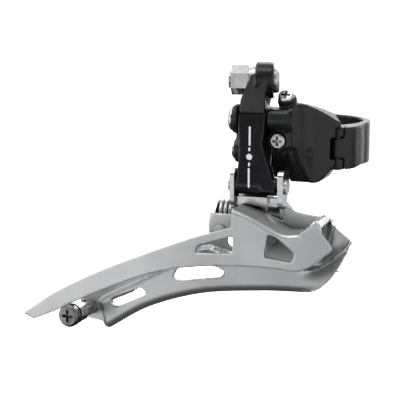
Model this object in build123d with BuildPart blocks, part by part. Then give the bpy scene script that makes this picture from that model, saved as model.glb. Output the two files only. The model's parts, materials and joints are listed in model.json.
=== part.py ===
"""Clamp-on front derailleur for a double chainring, at rest over the small ring.

Axes: +X points forward, to the nose of the cage; +Y points inward, to the bicycle's
centre plane and the seat tube; +Z points up. The origin is on the seat tube's axis,
at the middle of the clamp band's height. Lengths are in millimetres.
"""
from build123d import *
from math import cos, radians, sin, tan
import os

# ---- driving dimensions -----------------------------------------------------------

# seat tube clamp
bore_r = 17.5
band_h = 13.2
band_r = 19.9
split_gap = 0.3
hinge_angle = -51.0
hinge_reach = 22.3
knuckle_r = 2.2
knuckle_gap = 0.3
finger_low, finger_high = -3.0, 3.2
hinge_pin_r = 1.1
clamp_bolt_reach = 25.6
clamp_bolt_r = 2.5
lug_outer = 5.5
fairing_swing_r = 3.5

# four-bar linkage: pivots lie along X, each at its (Y, Z)
pivot_a = (-30.0, 9.4)     # outer link in the body
pivot_b = (-36.0, -10.0)   # outer link in the cage bracket
pivot_c = (-29.6, -20.4)   # inner link in the cage bracket
pivot_d = (pivot_a[0] + pivot_c[0] - pivot_b[0], pivot_a[1] + pivot_c[1] - pivot_b[1])
pin_r = 1.75
bush_r = 2.5
bush_fit = 0.04
eye_a_r, eye_b_r = 3.9, 3.0
eye_c_r, eye_d_r = 3.4, 3.4

# outer link, along X
link_rear, link_front = -13.2, -4.7
link_foot_rear, link_foot_front = -12.4, 0.4

# cable arm and anchor
anchor = (-6.4, -28.0, 21.4)
anchor_turn = 13.0
arm_eye_r = 5.6
arm_thick = 5.5
anchor_bolt_r = 2.5
washer_r = 4.7
anchor_nut_flats = 8.0

# limit screws
limit_r = 1.9
limit_head_r = 2.45
limit_upper = (0.3, -28.0, 16.5)
limit_lower = (-1.3, -31.4, 3.1)

# cage
sheet = 1.2
bracket_sheet = 1.5
outer_face = -48.6
inner_face = -36.8
band_lift = 2.0
tail_toe = 8.0
toe_radius = 143.0
toe_start = -22.0
bracket_wall = -34.1

rivet_places = ((-17.9, -24.8), (-1.6, -26.4))
rivet_r = 1.25
rivet_head_r = 1.9

# tail screw
tail_x = -65.9
tail_z = -54.3
tail_screw_r = 2.0

# ---- planes and small helpers -----------------------------------------------------

clamp_x = (cos(radians(hinge_angle)), sin(radians(hinge_angle)), 0)


def clamp_plane(height):
    """Clamp frame: local x points to the hinge, local y to the strap's side."""
    return Plane(origin=(0, 0, height), x_dir=clamp_x, z_dir=(0, 0, 1))


def rod(x_from, x_to, centre, radius, hole=0.0):
    """Round bar, or a tube, along X at a (Y, Z) centre."""
    with BuildPart() as bar:
        with BuildSketch(Plane.YZ.offset(x_from)):
            with Locations(centre):
                Circle(radius)
                if hole:
                    Circle(hole, mode=Mode.SUBTRACT)
        extrude(amount=x_to - x_from)
    return bar.part


def hull_bar(x_from, x_to, circles):
    """Bar along X whose section is the hull of circles, each (Y, Z, radius)."""
    with BuildPart() as bar:
        with BuildSketch(Plane.YZ.offset(x_from)):
            for y, z, radius in circles:
                with Locations((y, z)):
                    Circle(radius)
            make_hull()
        extrude(amount=x_to - x_from)
    return bar.part


def block(x, y, z):
    """Box from three (low, high) pairs."""
    size = (x[1] - x[0], y[1] - y[0], z[1] - z[0])
    middle = ((x[0] + x[1]) / 2, (y[0] + y[1]) / 2, (z[0] + z[1]) / 2)
    return Pos(*middle) * Box(*size, mode=Mode.PRIVATE)


def circle_at(centre, radius):
    """A pivot centre and a radius, as hull_bar takes them."""
    return (centre[0], centre[1], radius)


# ---- main body --------------------------------------------------------------------

spine_front, spine_back = -24.5, -15.0
barrel_r = 3.7
barrel_rear, barrel_front = -4.1, 2.8
barrel_corner = (-31.4, 11.0, 1.9)
lug_rear = (-14.9, -13.6)
inner_lug_rear = (-17.0, -13.8)
inner_lug_front = (-4.0, 2.6)
inner_link_rear, inner_link_front = -13.4, -4.4

with BuildPart() as shield:
    with BuildSketch(Plane.XY.offset(-12)):
        with BuildLine():
            Polyline((2.6, -14), (2.6, -28.4))
            Spline((2.6, -28.4), (8.0, -27.0), (12.2, -23.2), (15.4, -19.8), (17.3, -15.0))
            Line((17.3, -15.0), (2.6, -14))
        make_face()
    extrude(amount=28)
    with BuildSketch(Plane.XZ):
        with BuildLine():
            Spline((2.6, 14.5), (7.1, 14.0), (12.5, 10.6), (18.5, 6.6))
            Line((18.5, 6.6), (18.5, -4.9))
            Spline((18.5, -4.9), (16.0, -5.0), (14.0, -5.6), (11.7, -8.4), (7.0, -9.9))
            Polyline((7.0, -9.9), (2.6, 0.5), (2.6, 14.5))
        make_face()
    extrude(amount=40, mode=Mode.INTERSECT)
    # the top falls away towards the seat tube
    with BuildSketch(Plane.YZ):
        with BuildLine():
            Polyline((-30, 15), (-27, 15), (-14, 10), (-14, -12), (-30, -12), (-30, 15))
        make_face()
    extrude(amount=20, mode=Mode.INTERSECT)
    fillet(shield.faces().sort_by(Axis.Y)[:2].edges().filter_by(GeomType.BSPLINE), 0.9)

with BuildPart() as spine:
    with BuildSketch(Plane.YZ.offset(-17.0)):
        with BuildLine():
            Polyline((spine_front, -5.0), (spine_front, 8.2), (-21.2, 12.3),
                     (spine_back, 12.3), (spine_back, -5.0), (spine_front, -5.0))
        make_face()
    extrude(amount=20.6)

with BuildPart() as main_body:
    with BuildSketch(clamp_plane(-band_h / 2)):
        Circle(band_r)
        Rectangle(60, 40, align=(Align.CENTER, Align.MAX), mode=Mode.INTERSECT)
    extrude(amount=band_h)
    add(shield.part)
    add(spine.part)
    # bolt lug of the clamp
    with BuildSketch(clamp_plane(-5.5)):
        with Locations((-clamp_bolt_reach + 2.0, -3.4)):
            RectangleRounded(14.0, 6.8, 1.5)
    extrude(amount=11.0)
    # barrel and lugs of the upper outer pivot
    add(hull_bar(barrel_rear, barrel_front, [circle_at(pivot_a, barrel_r), barrel_corner]))
    add(hull_bar(*lug_rear, [circle_at(pivot_a, 4.7), (-21.5, 7.0, 4.5)]))
    # lugs of the upper inner pivot
    add(rod(*inner_lug_rear, pivot_d, 4.0))
    add(hull_bar(inner_lug_front[0], 7.2, [circle_at(pivot_d, 4.0), (-24.2, -6.8, 2.4), (-18.0, -5.0, 2.4)]))
    add(hull_bar(1.0, 8.6, [circle_at(pivot_d, 4.2), (-24.4, -7.6, 2.6), (-18.0, -5.4, 2.6)]))
    # boss of the lower limit screw, and its bridge to the barrel
    with BuildSketch(Plane.XZ.offset(27.4)):
        with Locations((limit_lower[0], limit_lower[2])):
            Circle(3.2)
        with Locations((1.6, 5.6)):
            Rectangle(2.6, 9.0)
    extrude(amount=4.2)
    # boss of the upper limit screw
    upper_axis = Plane(origin=limit_upper, x_dir=(1, 0, 0), z_dir=(0, -1, 1))
    with BuildSketch(upper_axis.offset(-9.5)):
        Circle(3.0)
    extrude(amount=8.3)
    # pocket behind the barrel for the outer link's stop tongue
    add(block((-9.5, 2.3), (-28.35, -22.4), (2.7, 10.9)), mode=Mode.SUBTRACT)
    add(hull_bar(barrel_rear, barrel_front, [circle_at(pivot_a, barrel_r), barrel_corner]))
    # room for the inner link
    add(rod(inner_lug_rear[1], inner_lug_front[0], pivot_d, 4.1), mode=Mode.SUBTRACT)
    add(block((inner_lug_rear[1], inner_lug_front[0]), (-30.0, -19.6), (-8.0, pivot_d[1])),
        mode=Mode.SUBTRACT)
    # seat tube bore, with relief above and below the band
    Cylinder(bore_r, 60, mode=Mode.SUBTRACT)
    for side in (1, -1):
        with BuildSketch(Plane.XY.offset(side * band_h / 2)):
            Circle(bore_r + 0.9)
        extrude(amount=side * 20, mode=Mode.SUBTRACT)
    # the strap's side of the split
    with BuildSketch(clamp_plane(-30)):
        with Locations((20, -split_gap / 2)):
            Rectangle(100, 60, align=(Align.CENTER, Align.MIN))
    extrude(amount=60, mode=Mode.SUBTRACT)
    # room for the strap's fairing to swing past the shield
    with BuildSketch(clamp_plane(-band_h / 2)):
        with Locations((hinge_reach, 0)):
            Circle(fairing_swing_r)
        with Locations((hinge_reach + 1.0, 0)):
            Rectangle(10, 10, align=(Align.MIN, Align.CENTER), mode=Mode.INTERSECT)
    extrude(amount=band_h, mode=Mode.SUBTRACT)
    # hinge knuckles above and below the strap's finger
    with BuildSketch(clamp_plane(-band_h / 2)):
        with Locations((hinge_reach, 0)):
            Circle(knuckle_r)
        with Locations((hinge_reach - 1.6, -1.6)):
            Rectangle(3.2, 2.6)
    extrude(amount=band_h)
    # window in front of the strap's finger
    with BuildSketch(Plane.XY.offset(finger_low - knuckle_gap)):
        with BuildLine():
            Polyline((11.4, -18.2), (14.2, -26.0), (24.0, -26.0), (24.0, -18.2), close=True)
        make_face()
    extrude(amount=finger_high - finger_low + 2 * knuckle_gap, mode=Mode.SUBTRACT)
    with BuildSketch(clamp_plane(finger_low - knuckle_gap)):
        with Locations((hinge_reach, 0)):
            Circle(knuckle_r + knuckle_gap)
    extrude(amount=finger_high - finger_low + 2 * knuckle_gap, mode=Mode.SUBTRACT)
    with BuildSketch(clamp_plane(-band_h / 2 - 0.3)):
        with Locations((hinge_reach, 0)):
            Circle(hinge_pin_r)
    extrude(amount=band_h + 0.6, mode=Mode.SUBTRACT)
    # clamp bolt's bore, long enough for the bolt to swing out with the strap
    with BuildSketch(Plane(origin=(0, 0, 0), x_dir=clamp_x, z_dir=(-clamp_x[1], clamp_x[0], 0))):
        with Locations((-clamp_bolt_reach - 0.3, 0)):
            SlotOverall(2 * clamp_bolt_r + 1.5, 2 * clamp_bolt_r + 0.8)
    extrude(amount=-12, mode=Mode.SUBTRACT)
    # pin holes and screw holes
    add(rod(-20, barrel_front + 1, pivot_a, pin_r), mode=Mode.SUBTRACT)
    add(rod(-18, 2.0, pivot_d, pin_r), mode=Mode.SUBTRACT)
    with BuildSketch(Plane.XZ.offset(27)):
        with Locations((limit_lower[0], limit_lower[2])):
            Circle(limit_r + bush_fit)
    extrude(amount=8, mode=Mode.SUBTRACT)
    with BuildSketch(Plane.XZ.offset(30.2)):
        with Locations((limit_lower[0], limit_lower[2])):
            Circle(limit_head_r + 0.2)
    extrude(amount=8, mode=Mode.SUBTRACT)
    with BuildSketch(upper_axis.offset(-7.0)):
        Circle(limit_r + bush_fit)
    extrude(amount=9, mode=Mode.SUBTRACT)

# ---- clamp strap, hinge pin and clamp bolt ------------------------------------------

with BuildPart() as clamp_strap:
    with BuildSketch(clamp_plane(-band_h / 2)):
        Circle(band_r)
        with Locations((0, split_gap / 2)):
            Rectangle(60, 40, align=(Align.CENTER, Align.MIN), mode=Mode.INTERSECT)
        Circle(bore_r, mode=Mode.SUBTRACT)
    extrude(amount=band_h)
    with BuildSketch(clamp_plane(-5.5)):
        with Locations((-clamp_bolt_reach + 2.0, 2.9)):
            RectangleRounded(14.0, 5.2, 1.5)
        Circle(bore_r + 0.1, mode=Mode.SUBTRACT)
    extrude(amount=11.0)
    # fairing from the hinge to the band
    with BuildSketch(clamp_plane(-band_h / 2)):
        with BuildLine():
            Polyline((18.6, split_gap / 2), (hinge_reach + 2.3, split_gap / 2), (hinge_reach + 2.1, 2.6))
            ThreePointArc((hinge_reach + 2.1, 2.6), (22.2, 6.4), (17.6, 9.3))
            Line((17.6, 9.3), (18.6, split_gap / 2))
        make_face()
        Circle(bore_r + 0.5, mode=Mode.SUBTRACT)
    extrude(amount=band_h)
    # room for the body's knuckles
    with BuildSketch(clamp_plane(-band_h / 2)):
        with Locations((hinge_reach, 0)):
            Circle(knuckle_r + knuckle_gap)
    extrude(amount=band_h, mode=Mode.SUBTRACT)
    # finger between the knuckles
    with BuildSketch(clamp_plane(finger_low)):
        with Locations((hinge_reach, 0)):
            Circle(knuckle_r)
        with Locations((hinge_reach - 0.6, 2.0)):
            Rectangle(3.2, 2.6)
    extrude(amount=finger_high - finger_low)
    with BuildSketch(clamp_plane(-band_h / 2)):
        with Locations((hinge_reach, 0)):
            Circle(hinge_pin_r + bush_fit)
    extrude(amount=band_h, mode=Mode.SUBTRACT)
    with BuildSketch(Plane(origin=(0, 0, 0), x_dir=clamp_x, z_dir=(-clamp_x[1], clamp_x[0], 0))):
        with Locations((-clamp_bolt_reach, 0)):
            Circle(clamp_bolt_r + bush_fit)
    extrude(amount=12, mode=Mode.SUBTRACT)

with BuildPart() as strap_hinge_pin:
    with BuildSketch(clamp_plane(-band_h / 2 - 0.3)):
        with Locations((hinge_reach, 0)):
            Circle(hinge_pin_r)
    extrude(amount=band_h + 0.6)


def bolt_plane(along):
    """Plane across the clamp bolt's axis, at a distance from the split."""
    normal = Vector(-clamp_x[1], clamp_x[0], 0)
    origin = Vector(*clamp_x) * -clamp_bolt_reach + normal * along
    return Plane(origin=origin, x_dir=clamp_x, z_dir=normal)


with BuildPart() as clamp_bolt_washer:
    with BuildSketch(bolt_plane(lug_outer)):
        Circle(4.8)
        Circle(clamp_bolt_r + bush_fit, mode=Mode.SUBTRACT)
    extrude(amount=1.0)

with BuildPart() as clamp_bolt:
    with BuildSketch(bolt_plane(lug_outer + 1.0)):
        Circle(4.2)
    extrude(amount=4.6)
    chamfer(clamp_bolt.edges().filter_by(GeomType.CIRCLE).sort_by(SortBy.DISTANCE)[-1], 0.5)
    with BuildSketch(bolt_plane(-6.4)):
        Circle(clamp_bolt_r)
    extrude(amount=6.4 + lug_outer + 1.0)
    with BuildSketch(bolt_plane(lug_outer + 5.6)):
        RegularPolygon(2.0, 6, major_radius=False)
    extrude(amount=-2.6, mode=Mode.SUBTRACT)

# ---- outer link with its cable arm ------------------------------------------------

anchor_dir = (cos(radians(anchor_turn)), sin(radians(anchor_turn)), 0)


def anchor_plane(along):
    """Plane across the cable anchor's axis; along is measured from the arm's middle."""
    origin = Vector(*anchor) + Vector(*anchor_dir) * along
    return Plane(origin=origin, x_dir=(-anchor_dir[1], anchor_dir[0], 0), z_dir=anchor_dir)


with BuildPart() as outer_link:
    add(hull_bar(link_rear, link_foot_front, [circle_at(pivot_a, eye_a_r), circle_at(pivot_b, eye_b_r)]))
    with BuildSketch(Plane.XZ.offset(20)):
        with BuildLine():
            Polyline((link_rear, 14), (link_rear, 8.0))
            Spline((link_rear, 8.0), (-12.5, 3.0), (-12.1, -3.0), (link_foot_rear, -9.0))
            Polyline((link_foot_rear, -9.0), (link_foot_rear, -14), (link_foot_front, -14),
                     (link_foot_front, -12.6))
            Spline((link_foot_front, -12.6), (-2.0, -7.6), (-4.3, -2.4), (-5.0, 1.0), (link_front, 6.0))
            Polyline((link_front, 6.0), (link_front, 14), (link_rear, 14))
        make_face()
    extrude(amount=30, mode=Mode.INTERSECT)
    # hollow back
    add(block((link_rear + 2.2, link_front - 1.8), (-33.4, -28.0), (-5.2, 5.0)), mode=Mode.SUBTRACT)
    # arm from the upper eye to the cable anchor: height, middle, width, depth and turn of each section
    arm_sections = [(9.8, (-8.95, -30.1), 8.5, 7.2, 0), (13.6, (-9.1, -28.8), 7.6, 6.0, 2),
                    (17.4, (-8.3, -28.2), 7.8, 7.3, 8), (20.6, (-7.1, -28.0), 5.6, 9.2, anchor_turn)]
    for height, middle, width, depth, turn in arm_sections:
        with BuildSketch(Plane.XY.offset(height)):
            with Locations(Location(middle, turn)):
                Rectangle(width, depth)
    loft()
    with BuildSketch(anchor_plane(-arm_thick / 2)):
        Circle(arm_eye_r)
    extrude(amount=arm_thick)
    with BuildSketch(anchor_plane(-arm_thick / 2)):
        Circle(washer_r + 0.3)
    extrude(amount=-8.0, mode=Mode.SUBTRACT)
    # stop tongue that the limit screws meet
    with BuildSketch(Plane.YZ.offset(-9.0)):
        with BuildLine():
            Polyline((-30.0, 5.6), (-22.9, 5.6), (-22.9, 10.4), (-23.8, 10.4), (-25.2, 9.0), (-30.0, 9.0),
                     (-30.0, 5.6))
        make_face()
    extrude(amount=3.4)
    with BuildSketch(Plane.YZ.offset(-5.7)):
        with BuildLine():
            Polyline((-25.2, 5.6), (-22.9, 5.6), (-22.9, 10.4), (-23.8, 10.4), (-25.2, 9.0), (-25.2, 5.6))
        make_face()
    extrude(amount=7.4)
    # room for the body's barrel
    add(block((link_front, 3.0), (-36.0, -25.4), (3.0, 14.0)), mode=Mode.SUBTRACT)
    # holes
    add(rod(link_rear - 1, link_front + 1, pivot_a, bush_r), mode=Mode.SUBTRACT)
    add(rod(link_foot_rear - 1, link_foot_front + 1, pivot_b, bush_r), mode=Mode.SUBTRACT)
    with BuildSketch(anchor_plane(-arm_thick)):
        Circle(anchor_bolt_r)
    extrude(amount=2 * arm_thick, mode=Mode.SUBTRACT)

with BuildPart() as outer_link_bushes:
    add(rod(link_rear, link_front, pivot_a, bush_r, pin_r + bush_fit))
    add(rod(link_foot_rear, link_foot_front, pivot_b, bush_r, pin_r + bush_fit))

# ---- cable anchor -----------------------------------------------------------------

with BuildPart() as cable_anchor_bolt:
    with BuildSketch(anchor_plane(arm_thick / 2)):
        Circle(3.95)
    extrude(amount=1.7)
    fillet(cable_anchor_bolt.edges().filter_by(GeomType.CIRCLE).sort_by(Axis.X)[-1], 1.1)
    with BuildSketch(anchor_plane(arm_thick / 2)):
        Circle(anchor_bolt_r)
    extrude(amount=-(arm_thick + 8.4))

with BuildPart() as cable_clamp_washer:
    with BuildSketch(anchor_plane(-arm_thick / 2)):
        Circle(washer_r)
        Circle(anchor_bolt_r + bush_fit, mode=Mode.SUBTRACT)
    extrude(amount=-1.3)

with BuildPart() as cable_plain_washer:
    with BuildSketch(anchor_plane(-arm_thick / 2 - 1.3)):
        Circle(4.3)
        Circle(anchor_bolt_r + bush_fit, mode=Mode.SUBTRACT)
    extrude(amount=-0.9)

with BuildPart() as cable_anchor_nut:
    with BuildSketch(anchor_plane(-arm_thick / 2 - 2.25)):
        RegularPolygon(anchor_nut_flats / 2, 6, major_radius=False, rotation=30)
        Circle(anchor_bolt_r + bush_fit, mode=Mode.SUBTRACT)
    extrude(amount=-5.3)

# ---- inner link ---------------------------------------------------------------------

with BuildPart() as inner_link:
    add(hull_bar(inner_link_rear, inner_link_front, [circle_at(pivot_c, eye_c_r), circle_at(pivot_d, eye_d_r)]))
    # pressed channel: an open back between two flanges
    add(block((inner_link_rear + 1.8, inner_link_front - 1.8), (-40, -10), (-16.4, -5.2))
        & hull_bar(inner_link_rear, inner_link_front, [circle_at(pivot_c, 2.0), circle_at(pivot_d, 2.0),
                                                       (pivot_c[0] + 6, pivot_c[1], 2.0),
                                                       (pivot_d[0] + 6, pivot_d[1], 2.0)]),
        mode=Mode.SUBTRACT)
    add(rod(inner_link_rear - 1, inner_link_front + 1, pivot_c, bush_r), mode=Mode.SUBTRACT)
    add(rod(inner_link_rear - 1, inner_link_front + 1, pivot_d, bush_r), mode=Mode.SUBTRACT)

with BuildPart() as inner_link_bushes:
    add(rod(inner_link_rear, inner_link_front, pivot_c, bush_r, pin_r + bush_fit))
    add(rod(inner_link_rear, inner_link_front, pivot_d, bush_r, pin_r + bush_fit))

# ---- pivot pins -------------------------------------------------------------------

with BuildPart() as upper_outer_washer:
    add(rod(lug_rear[0] - 0.5, lug_rear[0], pivot_a, 4.4, pin_r))

with BuildPart() as upper_outer_pin:
    add(rod(lug_rear[0] - 2.0, lug_rear[0] - 0.5, pivot_a, 3.9))
    fillet(upper_outer_pin.edges().filter_by(GeomType.CIRCLE).sort_by(Axis.X)[0], 1.3)
    add(rod(lug_rear[0] - 0.5, 2.6, pivot_a, pin_r))

with BuildPart() as upper_inner_pin:
    add(rod(inner_lug_rear[0] - 0.8, 2.0, pivot_d, pin_r))
    add(rod(inner_lug_rear[0] - 0.8, inner_lug_rear[0], pivot_d, 2.8))

# ---- cage bracket -------------------------------------------------------------------

ear_front = (0.8, 2.6)
ear_rear = (-14.2, -12.8)
cup_rear = (-21.7, -20.4)
wall_top = -15.8
cup_top = -19.6
wall_low = -23.6

with BuildPart() as cage_bracket:
    # wall against the inner cage plate
    with BuildSketch(Plane.XZ.offset(-bracket_wall)):
        with BuildLine():
            Polyline((cup_rear[0], cup_top), (ear_rear[0] - 0.6, cup_top), (ear_rear[0], wall_top),
                     (-3.4, wall_top), (-3.0, -20.6), (0.2, -24.0), (ear_front[1], -24.2),
                     (ear_front[1], -28.5), (-3.0, -28.5),
                     (-4.5, wall_low), (-15.6, wall_low), (-16.4, -28.5), (cup_rear[0], -27.0),
                     (cup_rear[0], cup_top))
        make_face()
    extrude(amount=bracket_sheet - 0.1)
    # ears
    add(hull_bar(*ear_front, [(-36.4, -7.2, 2.0), (-33.6, -7.4, 2.2), (-36.4, -14.6, 2.0), (-35.6, -15.0, 2.0)]))
    add(hull_bar(*ear_front, [(-34.4, -15.6, 1.05), circle_at(pivot_c, 3.3), (bracket_wall - 0.7, -25.4, 0.7)]))
    add(hull_bar(*ear_rear, [(-36.7, -7.2, 2.1), (-34.6, -7.4, 2.2), (-36.7, -14.6, 2.1),
                             (bracket_wall - 0.7, wall_top - 2.0, 0.7)]))
    add(hull_bar(*cup_rear, [circle_at(pivot_c, 4.0), (bracket_wall - 0.7, cup_top - 1.0, 0.7),
                             (bracket_wall - 0.7, -26.3, 0.7)]))
    # bar between the ears, under the outer link's foot
    add(block((ear_rear[0], ear_front[1]), (-36.7, bracket_wall), (-16.4, -13.65)))
    add(block((-11.7, -2.4), (-38.4, -36.4), (-15.5, -13.35)))
    add(rod(cup_rear[0] - 1, ear_front[1] + 1, pivot_b, pin_r), mode=Mode.SUBTRACT)
    add(rod(cup_rear[0] - 1, ear_front[1] + 1, pivot_c, pin_r), mode=Mode.SUBTRACT)
    with BuildSketch(Plane.XZ):
        with Locations(*rivet_places):
            Circle(rivet_r)
    extrude(amount=60, mode=Mode.SUBTRACT)

with BuildPart() as lower_outer_pin:
    add(rod(ear_rear[0] - 0.7, ear_front[1] + 0.8, pivot_b, pin_r))
    add(rod(ear_rear[0] - 0.7, ear_rear[0], pivot_b, 2.4))
    add(rod(ear_front[1], ear_front[1] + 0.8, pivot_b, 2.4))

with BuildPart() as lower_inner_pin:
    add(rod(cup_rear[0] - 0.7, ear_front[1] + 0.8, pivot_c, pin_r))
    add(rod(cup_rear[0] - 0.7, cup_rear[0], pivot_c, 2.5))
    add(rod(ear_front[1], ear_front[1] + 0.8, pivot_c, 2.4))
    # collar between the inner link and the ear
    add(rod(inner_link_front + 0.3, ear_front[0], pivot_c, 3.2))

# ---- return spring, round the lower inner pin between the cup and the inner link ------

spring_wire = 1.4
spring_r = 3.65
spring_pitch = 1.55
spring_turns = 3.25
spring_rear = -19.3

with BuildPart() as spring_sleeve:
    add(rod(cup_rear[1], inner_link_rear - 0.3, pivot_c, 2.75, pin_r + bush_fit))

with BuildPart() as return_spring:
    with BuildLine():
        coil = Helix(spring_pitch, spring_pitch * spring_turns, spring_r,
                     center=(spring_rear, *pivot_c), direction=(1, 0, 0))
    with BuildSketch(Plane(origin=coil @ 0, z_dir=coil % 0)):
        Circle(spring_wire / 2)
    sweep(is_frenet=True)

# ---- cage plates ----------------------------------------------------------------------

toe = radians(tail_toe)
strip_front = 30.0
strip_tail = 48.0


def cage_strip(face_y, thickness):
    """Upright strip of sheet: straight in plan, then bent inward towards the tail."""
    centre_y = face_y + toe_radius
    ends = []
    with BuildPart() as strip:
        with BuildSketch(Plane.XY.offset(-64)):
            with BuildLine():
                for radius in (toe_radius, toe_radius - thickness):
                    start = Vector(toe_start, centre_y - radius)
                    middle = Vector(toe_start - radius * sin(toe / 2), centre_y - radius * cos(toe / 2))
                    end = Vector(toe_start - radius * sin(toe), centre_y - radius * cos(toe))
                    tail = end + Vector(-cos(toe), sin(toe)) * strip_tail
                    front = Vector(strip_front, start.Y)
                    Line(front, start)
                    ThreePointArc(start, middle, end)
                    Line(end, tail)
                    ends.append((front, tail))
                for outer, inner in zip(*ends):
                    Line(outer, inner)
            make_face()
        extrude(amount=60)
    return strip.part


def through_cage(sketch):
    """Solid of an outline in X and Z, long enough to cross both plates."""
    with BuildPart() as cutter:
        extrude(sketch, amount=62, dir=(0, -1, 0))
    return cutter.part


tail_point = (tail_x, tail_z)

# outer plate: the upper edge, the step up to the roof, the nose, and the lower edge
roof_line = [(-10.2, -15.6), (-4.7, -17.6), (1.6, -20.8), (6.0, -22.3), (10.6, -21.9)]
with BuildSketch(Plane.XZ) as outer_outline:
    with BuildLine():
        Spline((-84.5, -56.0), (-71.0, -47.0), (-52.0, -37.3), (-27.0, -26.8), (-12.5, -21.8))
        Polyline((-12.5, -21.8), (-10.4, -21.2), (-10.2, -15.6))
        Spline(*roof_line)
        Spline((10.6, -21.9), (12.6, -20.3), (14.2, -18.1), (15.6, -17.9), (17.3, -19.4))
        Spline((17.3, -19.4), (17.3, -21.6), (18.6, -23.3), (20.2, -25.8), (19.3, -27.3))
        Line((19.3, -27.3), (13.6, -31.9))
        Spline((13.6, -31.9), (9.4, -33.1), (-1.4, -32.7), (-17.9, -33.5), (-35.4, -36.9),
               (-55.8, -45.4), (-71.9, -53.6), (-80.6, -57.5))
        Line((-80.6, -57.5), (-84.5, -56.0))
    make_face()
    with Locations(tail_point):
        Circle(3.3)
    # triangular opening and the forward opening
    with BuildLine():
        Polyline((-25.6, -29.2), (-22.4, -26.7), (-9.9, -23.4), (-9.9, -28.4), close=True)
    make_face(mode=Mode.SUBTRACT)
    with BuildLine():
        Polyline((0.7, -22.4), (9.8, -27.7), (8.2, -31.1), (-0.4, -29.5), close=True)
    make_face(mode=Mode.SUBTRACT)
    corners = outer_outline.vertices().filter_by(lambda v: -25.7 < v.X < 9.9 and -31.2 < v.Y < -22.35)
    fillet(corners, 0.9)

# inner plate: the base level, and the raised band below the ridge
ridge = [(-61.6, -51.2), (-53.0, -46.6), (-40.0, -40.2), (-30.0, -33.6), (-22.5, -29.6), (-15.6, -30.9),
         (-4.0, -32.2), (6.0, -33.6), (13.5, -33.0), (20.6, -27.6)]
rim = [(24.2, -25.2), (22.4, -29.4), (19.4, -34.8), (15.6, -39.2), (10.8, -41.6), (-4.5, -42.6),
       (-24.0, -45.1), (-42.0, -51.3), (-56.6, -60.1)]

with BuildSketch(Plane.XZ) as base_outline:
    with BuildLine():
        Polyline((-21.7, -19.6), (-13.3, -19.6), (-10.6, -16.6), (-4.7, -17.9), (-0.4, -19.8), (2.2, -20.4),
                 (2.8, -16.0))
        Spline((2.8, -16.0), (5.8, -17.4), (11.4, -18.3), (16.0, -18.7), (19.0, -20.2), (24.2, -25.2))
        Line((24.2, -25.2), (20.6, -28.1))
        Spline(*[(x, z - 0.5) for x, z in reversed(ridge[1:])])
        Polyline((-53.0, -47.1), (-60.0, -51.4), (-59.6, -58.0), (-67.6, -57.8), (-68.4, -51.4))
        Spline((-68.4, -51.4), (-60.0, -45.6), (-40.0, -35.4), (-21.7, -27.2))
        Line((-21.7, -27.2), (-21.7, -19.6))
    make_face()

with BuildSketch(Plane.XZ) as band_outline:
    with BuildLine():
        Spline(*ridge)
        Line(ridge[-1], rim[0])
        Spline(*rim)
        Spline(rim[-1], (-58.6, -60.2), (-60.2, -58.6))
        Line((-60.2, -58.6), ridge[0])
    make_face()

with BuildSketch(Plane.XZ) as rim_outline:
    add(band_outline.sketch)
    with BuildLine():
        Polyline(ridge[0], (-63.4, -40), (26, -10), (26, -24.6), (22.0, -25.6))
        Spline((22.0, -25.6), (20.4, -28.8), (17.4, -34.0), (14.2, -37.6), (9.8, -39.4), (-4.8, -40.4),
               (-24.4, -42.9), (-42.8, -49.0), (-57.0, -57.4))
        Polyline((-57.0, -57.4), (-64.6, -57.4), ridge[0])
    make_face(mode=Mode.SUBTRACT)

step_top = [(x, z + 0.3) for x, z in ridge]
step_low = [(x - 0.4, z - 1.2) for x, z in ridge]
with BuildSketch(Plane.XZ) as ridge_outline:
    with BuildLine():
        Spline(*step_top)
        Line(step_top[-1], step_low[-1])
        Spline(*reversed(step_low))
        Line(step_low[0], step_top[0])
    make_face()
    with BuildLine():
        Polyline(ridge[0], (-60.2, -58.6), (-59.0, -58.6), (-60.4, -51.8), close=True)
    make_face()

with BuildSketch(Plane.XZ) as slots:
    with BuildLine():
        Polyline((-56.4, -50.0), (-54.2, -52.8), (-42.2, -47.0), (-44.4, -44.8), close=True)
    make_face()
    with BuildLine():
        Polyline((-36.0, -41.3), (-28.0, -36.4), (-17.6, -35.6), (-14.6, -38.5), (-24.0, -39.7), close=True)
    make_face()
    fillet(slots.vertices(), 1.2)

with BuildSketch(Plane.XZ) as window:
    with BuildLine():
        Polyline((-15.6, -24.4), (-3.2, -24.4), (-3.2, -30.6), (-15.6, -29.4), close=True)
    make_face()
    fillet(window.vertices(), 1.0)

screw_dir = Vector(sin(toe), cos(toe), 0)
screw_head_y = outer_face + toe_radius * (1 - cos(toe)) + (toe_start - toe_radius * sin(toe) - tail_x) * tan(toe)


def screw_plane(along):
    """Plane across the tail screw's axis; along is measured from the outer plate's face."""
    origin = Vector(tail_x, screw_head_y, tail_z) + screw_dir * along
    return Plane(origin=origin, x_dir=(0, 0, 1), z_dir=screw_dir)


tail_gap = (inner_face - outer_face - sheet) * cos(toe)

with BuildPart() as nose_front:
    # front of the nose, slanting forward to the inner plate
    with BuildSketch(Plane.XY.offset(-27.0)):
        with BuildLine():
            Polyline((16.4, outer_face), (18.4, outer_face), (23.4, inner_face), (21.4, inner_face),
                     (16.4, outer_face + 1.6), (16.4, outer_face))
        make_face()
    extrude(amount=9.0)
    with BuildSketch(Plane.XZ):
        with BuildLine():
            Polyline((16.0, -18.4), (17.6, -19.0), (22.6, -24.0), (21.6, -26.4), (17.8, -26.4), (16.0, -18.4))
        make_face()
    extrude(amount=62, mode=Mode.INTERSECT)

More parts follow.
